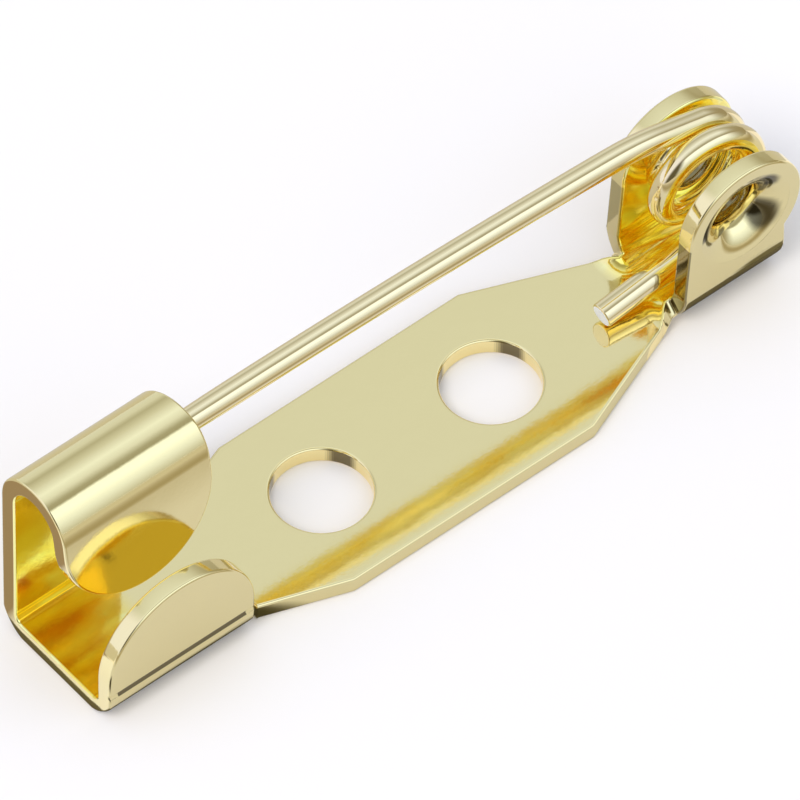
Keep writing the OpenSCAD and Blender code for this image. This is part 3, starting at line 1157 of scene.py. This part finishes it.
def direction(azimuth, elevation):
    """Unit vector from the object towards an azimuth, as the camera's is counted, and an elevation."""
    a, e = math.radians(azimuth), math.radians(elevation)
    return Vector((math.sin(a) * math.cos(e), -math.cos(a) * math.cos(e), math.sin(e)))


def make_camera():
    """A long lens at the photo's angle, scaled for a square frame."""
    deselect()
    distance = LENS / SENSOR_W * FRAME_PIXELS / PIXELS_PER_MM / MM_PER_M
    back = direction(VIEW_AZIMUTH, VIEW_ELEVATION)
    bpy.ops.object.camera_add(location=AIM + back * distance)
    camera = bpy.context.object
    camera.rotation_mode = "QUATERNION"
    camera.rotation_quaternion = (-back).to_track_quat("-Z", "Y")
    camera.data.lens = LENS
    camera.data.sensor_width = SENSOR_W
    camera.data.clip_start, camera.data.clip_end = CLIP_RANGE
    bpy.context.scene.camera = camera


# Panels round the bar: what each is, its angle from the top towards the front, and its level
STUDIO = (
    ("far horizon", -90, 0.82),
    ("far panel", -70, 0.76),
    ("far gap", -55, 0.50),
    ("top panel, far edge", -36, 0.72),
    ("top panel", -12, 1.06),
    ("top panel, near edge", 4, 0.88),
    ("near gap", 19, 0.43),
    ("near gap, dark edge", 27.5, 0.38),
    ("front panel, top edge", 32.5, 1.3),
    ("front panel", 46, 1.35),
    ("front panel, low edge", 68, 1.02),
    ("near horizon", 88, 0.66),
)
# Tints at the bar's two ends
LEFT_PANEL = (0.94, 1.0, 1.36)
LEFT_GAP = (0.12, 0.11, 0.08)
RIGHT_CURTAIN = (0.35, 0.32, 0.24)
# Where they set in, as parts of a unit vector's X, and where the left one changes, of its Y
LEFT_X = (-0.45, -0.7)
RIGHT_X = (0.6, 1.0)
LEFT_BEHIND_Y = (-0.4, -0.05)


def make_room(panel, gap):
    """A soft studio: long panels along the bar, brighter in front, with dim gaps between them."""
    world = bpy.data.worlds.new("room")
    bpy.context.scene.world = world
    tree = NodeTree(world)
    toward = tree.apart(tree.add("ShaderNodeTexCoord").outputs["Generated"])
    angle = tree.maths("ARCTAN2", tree.maths("MULTIPLY", toward["Y"], -1), toward["Z"])
    stops = []
    for _, degrees, level in STUDIO:
        lit = min(1.0, level)
        tint = [g * (1 - lit) + p * lit for g, p in zip(gap, panel)]
        stops.append(((degrees + 90) / 180, [level * c for c in tint]))
    panels = tree.shades(tree.ramp(angle, -QUARTER, QUARTER), stops)
    left_side = tree.mix(tree.soft_ramp(toward["Y"], *LEFT_BEHIND_Y), LEFT_GAP, LEFT_PANEL)
    left = tree.mix(tree.soft_ramp(toward["X"], *LEFT_X), panels, left_side)
    room = tree.mix(tree.soft_ramp(toward["X"], *RIGHT_X), left, RIGHT_CURTAIN)
    background = tree.nodes["Background"].inputs
    tree.feed(background["Color"], room)
    tree.feed(background["Strength"], 1.0)


def floor_lamp(radiance, size, azimuth, elevation, distance):
    """A soft lamp that lights the floor and isn't mirrored by the metal."""
    deselect()
    back = direction(azimuth, elevation)
    bpy.ops.object.light_add(type="AREA", location=back * distance)
    lamp = bpy.context.object
    lamp.name = "floor_lamp"
    lamp.rotation_mode = "QUATERNION"
    lamp.rotation_quaternion = back.to_track_quat("Z", "Y")
    lamp.data.shape = "DISK"
    lamp.data.size = size
    lamp.data.energy = radiance * math.pi * math.pi * size * size / 4
    lamp.visible_glossy = False


def card(name, x, y, height, size_x, size_y, build):
    """A card that only the metal's reflections show. build(tree, shader, place) colours it."""
    deselect()
    bpy.ops.mesh.primitive_plane_add(size=1, location=(x / MM_PER_M, y / MM_PER_M, height / MM_PER_M))
    sheet = bpy.context.object
    sheet.name = name
    sheet.scale = (size_x / MM_PER_M, size_y / MM_PER_M, 1)
    material, tree, shader = new_material(name)
    tree.feed(shader["Roughness"], 0.9)
    tree.feed(shader["Specular IOR Level"], 0.0)
    build(tree, shader, tree.place())
    sheet.data.materials.append(material)
    sheet.visible_camera = False
    sheet.visible_diffuse = False
    sheet.visible_shadow = False


def banded_card(name, x0, x1, bands, height):
    """A card on the floor whose shade changes along Y, through bands of place and colour."""
    y0, y1 = bands[0][0], bands[-1][0]
    stops = [((y - y0) / (y1 - y0), shade) for y, shade in bands]

    def build(tree, shader, place):
        along = tree.ramp(tree.apart(place)["Y"], -0.5, 0.5)
        tree.feed(shader["Base Color"], tree.shades(along, stops))

    card(name, (x0 + x1) / 2, (y0 + y1) / 2, height, x1 - x0, y1 - y0, build)


def shadow_spot(name, x, y, reach_x, reach_y, shade, height):
    """A soft dark spot just above the floor. The card's corners are left clear."""

    def build(tree, shader, place):
        tree.feed(shader["Base Color"], shade)
        from_middle = tree.stretched(place, (2, 2, 2))
        spot = tree.add("ShaderNodeTexGradient", gradient_type="SPHERICAL", vector=from_middle)
        tree.feed(shader["Alpha"], tree.soft_ramp(spot.outputs["Fac"], 0.0, SPOT_FULL))

    card(name, x, y, height, 2 * reach_x, 2 * reach_y, build)


def make_floor(floor_colour):
    """A plain pale floor."""
    deselect()
    bpy.ops.mesh.primitive_plane_add(size=FLOOR_W, location=(0, 0, 0))
    floor = bpy.context.object
    floor.name = "floor"
    material, tree, shader = new_material("floor_paper")
    tree.feed(shader["Base Color"], floor_colour)
    tree.feed(shader["Roughness"], 0.9)
    tree.feed(shader["Specular IOR Level"], 0.1)
    floor.data.materials.append(material)


# What the metal mirrors from below. The bands are places across the bar and their colours
LIGHT_CARD = (0.70, 0.67, 0.66)
MID_CARD = (0.61, 0.56, 0.47)
DIM_CARD = (0.50, 0.44, 0.35)
DARK_CARD = (0.38, 0.32, 0.21)
WHITE_CARD = (0.95, 0.93, 0.95)
BROWN_CARD = (0.34, 0.25, 0.17)
# Painted shadow under the part, which only the metal's reflections show
DARK_UNDER = (0.14, 0.12, 0.08)

NEAR_BANDS = (
    (-400, MID_CARD), (-26, MID_CARD), (-17, DIM_CARD), (-9.6, DARK_CARD), (-7.6, DARK_CARD),
    (-5.9, DIM_CARD), (-5.3, LIGHT_CARD), (-1.5, LIGHT_CARD),
)
FAR_BANDS = ((2.2, MID_CARD), (400, MID_CARD))
END_BANDS = ((-1.9, WHITE_CARD), (1.6, WHITE_CARD), (2.0, BROWN_CARD), (8, BROWN_CARD))
CATCH_UNDER_BANDS = ((-1.95, DARK_UNDER), (1.9, DARK_UNDER))
EARS_UNDER_BANDS = ((-1.68, DARK_UNDER), (1.9, DARK_UNDER))

# Banded cards: name, from and to along the bar, bands, and height above the floor
CARDS = (
    ("near_card", -400, 400, NEAR_BANDS, 0.01),
    ("far_card", -400, 400, FAR_BANDS, 0.01),
    ("end_card", -16, -10.03, END_BANDS, 0.02),
    ("catch_under", -10.05, -5.6, CATCH_UNDER_BANDS, 0.02),
    ("ears_under", 7.0, 10.2, EARS_UNDER_BANDS, 0.02),
)
# Shadow spots: name, place and reach along and across the bar, shade, and height above the floor
SPOTS = (
    ("corner_shadow", -10.9, -2.9, 1.1, 0.9, (0.05, 0.04, 0.02), 0.15),
    ("ear_shadow", 9.6, -1.75, 1.1, 0.35, (0.16, 0.14, 0.09), 0.03),
    ("flange_shadow", -7.0, -1.8, 4.0, 0.45, (0.08, 0.07, 0.04), 0.03),
)


class BROOCHPIN_OT_stage(bpy.types.Operator):
    """Set up the floor, the soft lights and the camera"""

    bl_idname = "broochpin.stage"
    bl_label = "Studio"

    def execute(self, context):
        looks = context.scene.broochpin_looks
        make_floor(looks.floor)
        make_room(looks.panel, looks.gap)
        floor_lamp(radiance=6.5, size=0.4, azimuth=-70, elevation=55, distance=0.8)
        for row in CARDS:
            banded_card(*row)
        for row in SPOTS:
            shadow_spot(*row)
        context.scene.cycles.max_bounces = MIRROR_BOUNCES
        context.scene.cycles.glossy_bounces = MIRROR_BOUNCES
        make_camera()
        context.scene.view_settings.view_transform = "Standard"
        return {"FINISHED"}


# The add-on's panel, its classes and the run as a script

class BROOCHPIN_PT_panel(bpy.types.Panel):
    """Lists the pieces of the finding"""

    bl_label = "Brooch pin"
    bl_idname = "BROOCHPIN_PT_panel"
    bl_space_type = "VIEW_3D"
    bl_region_type = "UI"
    bl_category = "Brooch pin"

    def draw(self, context):
        for operator in OPERATORS:
            self.layout.operator(operator.bl_idname)


OPERATORS = (BROOCHPIN_OT_sheet, BROOCHPIN_OT_wire, BROOCHPIN_OT_stage)
GROUPS = {
    "broochpin_sheet": BROOCHPIN_PG_sheet,
    "broochpin_wire": BROOCHPIN_PG_wire,
    "broochpin_looks": BROOCHPIN_PG_looks,
}


def register():
    """Registers the property groups, the operators and the panel."""
    for name, group in GROUPS.items():
        bpy.utils.register_class(group)
        setattr(bpy.types.Scene, name, bpy.props.PointerProperty(type=group))
    for operator in OPERATORS:
        bpy.utils.register_class(operator)
    bpy.utils.register_class(BROOCHPIN_PT_panel)


def unregister():
    """Takes away what register added."""
    bpy.utils.unregister_class(BROOCHPIN_PT_panel)
    for operator in reversed(OPERATORS):
        bpy.utils.unregister_class(operator)
    for name, group in reversed(GROUPS.items()):
        delattr(bpy.types.Scene, name)
        bpy.utils.unregister_class(group)


def main():
    """Builds the pieces and the stage."""
    register()
    bpy.ops.broochpin.sheet()
    bpy.ops.broochpin.wire()
    bpy.ops.broochpin.stage()


if __name__ == "__main__":
    main()
